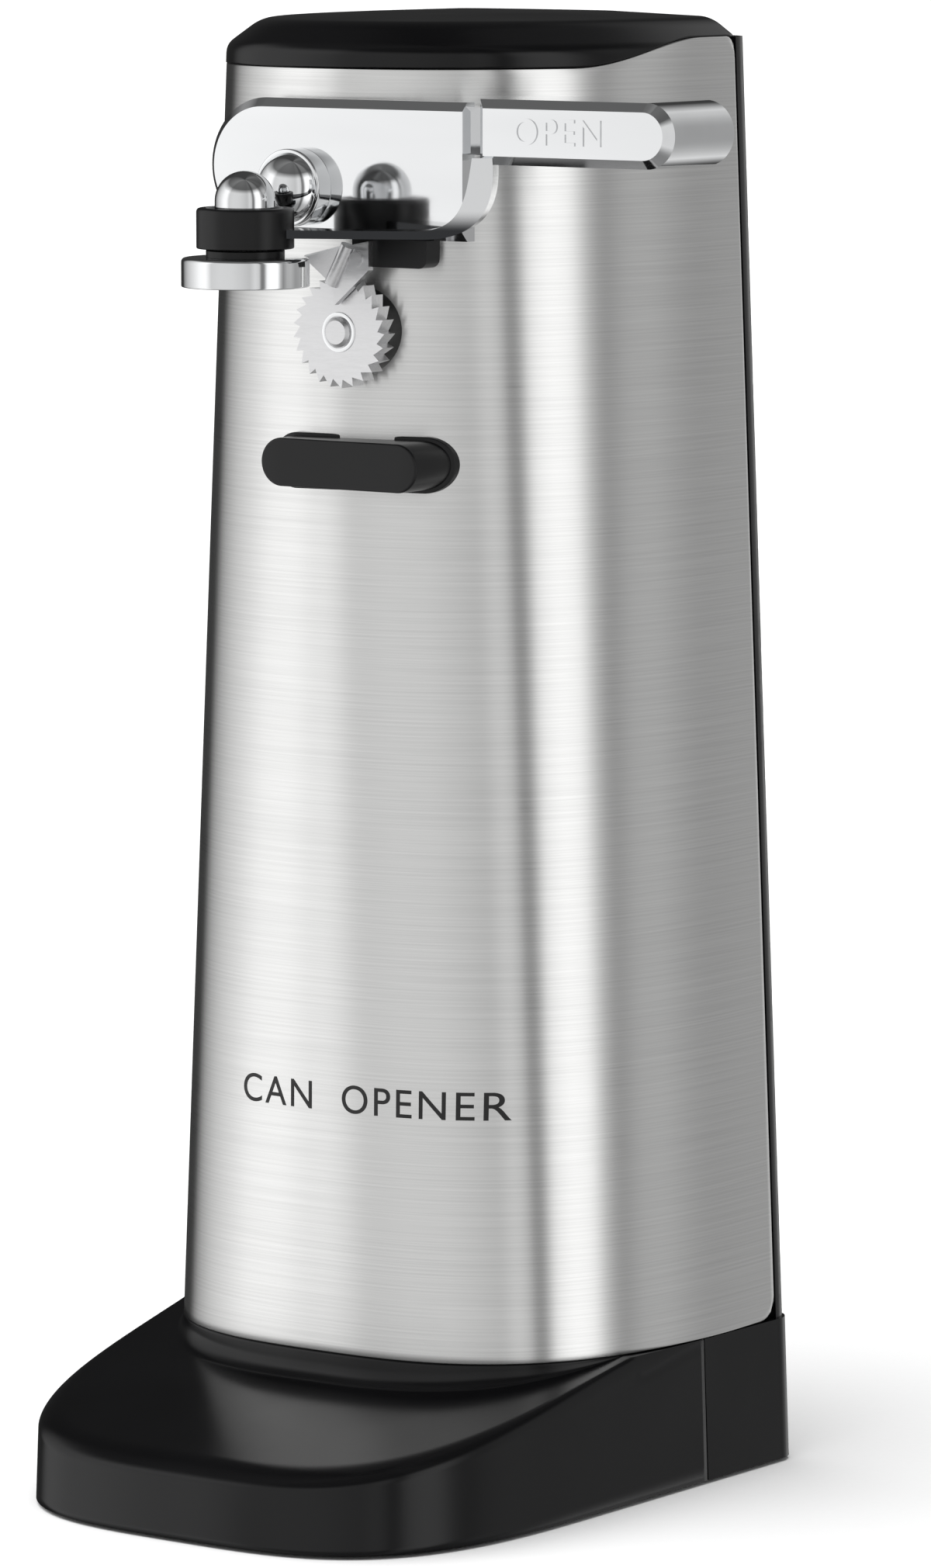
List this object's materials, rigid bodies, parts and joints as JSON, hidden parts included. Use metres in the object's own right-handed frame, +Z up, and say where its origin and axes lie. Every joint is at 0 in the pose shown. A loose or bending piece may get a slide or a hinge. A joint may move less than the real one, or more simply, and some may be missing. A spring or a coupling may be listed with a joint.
{
  "type": "electric can opener",
  "caption": "Upright electric can opener: tapering brushed-steel housing on a sloping foot, lifting lever with blade and magnet over a toothed drive wheel.",
  "frame": {"origin": "on the table, on the housing's centre plane, under the body between its front face and its rear edge", "axes": "+Z up, the front with the lever faces -Y, +X to the right seen from the front"},
  "size_m": [0.1214, 0.1154, 0.24],
  "materials": {
    "steel_skin": "brushed across",
    "black_plastic": "satin moulded",
    "black_fittings": "matt moulded",
    "inner_plastic": "matt moulded",
    "chrome": "polished",
    "tool_steel": "ground",
    "zinc_steel": "zinc plated",
    "gear_nylon": "moulded nylon",
    "copper": "enamelled wire",
    "lamination": "stacked sheet",
    "bronze": "sintered",
    "magnet_black": "ferrite",
    "rubber": "matt",
    "whetstone": "ceramic grit"
  },
  "bodies": {
    "root": {"steel_wrap": "steel_skin", "front_base": "black_plastic", "rear_cover": "black_plastic", "top_cap": "black_plastic", "guide_post": "black_fittings", "wheel_boss": "black_fittings", "sharpener_guide": "black_fittings", "switch_body": "black_fittings", "terminal_block": "black_fittings", "inner_frame": "inner_plastic", "base_plate": "inner_plastic", "coil_bobbin": "inner_plastic", "bottle_opener": "tool_steel", "middle_gear_pin": "tool_steel", "first_gear_pin": "tool_steel", "front_gear_plate": "zinc_steel", "rear_gear_plate": "zinc_steel", "gear_posts": "zinc_steel", "gear_post_screws": "zinc_steel", "gear_plate_screws": "zinc_steel", "front_bracket": "zinc_steel", "rear_bracket": "zinc_steel", "motor_screws": "zinc_steel", "guide_screws": "zinc_steel", "base_screws": "zinc_steel", "cover_screws": "zinc_steel", "opener_rivets": "zinc_steel", "switch_bracket": "zinc_steel", "coil_winding": "copper", "shading_rings": "copper", "motor_core": "lamination", "motor_bushes": "bronze", "pivot_bush": "bronze", "foot_ring": "rubber", "cord_gland": "rubber", "sharpener_stone_left": "whetstone", "sharpener_stone_right": "whetstone"},
    "rotor": {"rotor": "lamination", "motor_shaft": "tool_steel", "motor_pinion": "gear_nylon"},
    "first_idler": {"first_gear": "gear_nylon"},
    "middle_idler": {"middle_gear": "gear_nylon"},
    "drive": {"drive_wheel": "tool_steel", "drive_shaft": "tool_steel", "shaft_clip": "zinc_steel", "output_gear": "gear_nylon"},
    "lever": {"lever": "chrome", "pivot_shaft": "tool_steel", "pivot_knob": "chrome", "friction_washer": "zinc_steel", "switch_cam": "zinc_steel", "blade_carrier": "black_fittings", "blade": "tool_steel", "blade_rivet": "tool_steel", "magnet_arm": "chrome", "magnet_holder": "black_fittings"},
    "magnet": {"magnet_cup": "chrome", "ring_magnet": "magnet_black", "dome_rivet": "chrome"},
    "plunger": {"switch_plunger": "black_fittings"}
  },
  "joints": [
    {"name": "rotor_spin", "type": "hinge", "parent": "root", "child": "rotor", "pos_m": [0.00002, 0, 0.12882], "axis": [0, 1, 0], "continuous": true},
    {"name": "first_idler_spin", "type": "hinge", "parent": "root", "child": "first_idler", "pos_m": [0.00243, 0, 0.14847], "axis": [0, 1, 0], "continuous": true},
    {"name": "middle_idler_spin", "type": "hinge", "parent": "root", "child": "middle_idler", "pos_m": [-0.00153, 0, 0.17092], "axis": [0, 1, 0], "continuous": true},
    {"name": "drive_spin", "type": "hinge", "parent": "root", "child": "drive", "pos_m": [0.0076, 0, 0.1905], "axis": [0, 1, 0], "continuous": true},
    {"name": "lever_lift", "type": "hinge", "parent": "root", "child": "lever", "pos_m": [-0.0002, 0, 0.2133], "axis": [0, -1, 0], "range_deg": [0, 32]},
    {"name": "magnet_float", "type": "slide", "parent": "lever", "child": "magnet", "axis": [0, 0, 1], "range_m": [0, 0.001]},
    {"name": "switch_travel", "type": "slide", "parent": "root", "child": "plunger", "axis": [0, 0, -1], "range_m": [0, 0.0006]}
  ],
  "couplings": [
    {"joint": "first_idler_spin", "follows": "rotor_spin", "ratio": -0.22222},
    {"joint": "middle_idler_spin", "follows": "rotor_spin", "ratio": 0.059259},
    {"joint": "drive_spin", "follows": "rotor_spin", "ratio": -0.019753},
    {"joint": "switch_travel", "follows": "lever_lift", "m_per_rad": 0.0009311}
  ]
}
